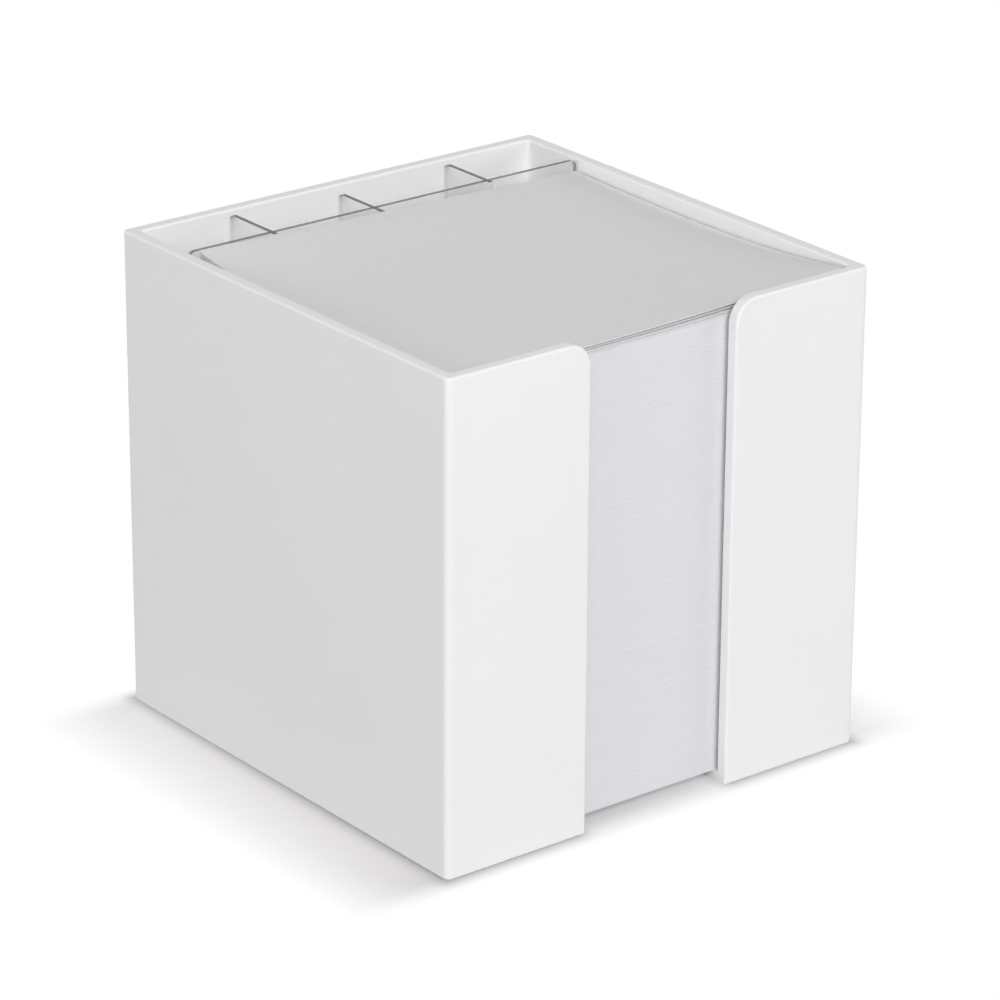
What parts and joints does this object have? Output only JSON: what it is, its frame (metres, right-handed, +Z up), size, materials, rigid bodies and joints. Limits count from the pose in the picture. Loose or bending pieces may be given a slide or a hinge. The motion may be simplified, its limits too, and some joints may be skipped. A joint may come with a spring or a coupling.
{
  "type": "memo cube",
  "caption": "Open-topped white desk box for a stack of loose memo sheets, with a finger slot down the front and clear plates that part off pen compartments at the back.",
  "frame": {"origin": "middle of the footprint, on the table", "axes": "+X along the front towards the right side, +Y from the slotted front to the pen compartments at the back, +Z up"},
  "size_m": [0.1, 0.1024, 0.0985],
  "materials": {
    "white_moulding": "opaque white moulded polystyrene with a soft satin surface",
    "clear_plate": "clear colourless plastic sheet with smooth faces and dark-looking edges",
    "white_paper": "uncoated white writing paper, cut edges slightly bluish"
  },
  "bodies": {
    "root": {"holder": "white_moulding", "partition": "clear_plate", "divider_left": "clear_plate", "divider_middle": "clear_plate", "divider_right": "clear_plate", "memo_sheets": "white_paper"}
  },
  "joints": []
}
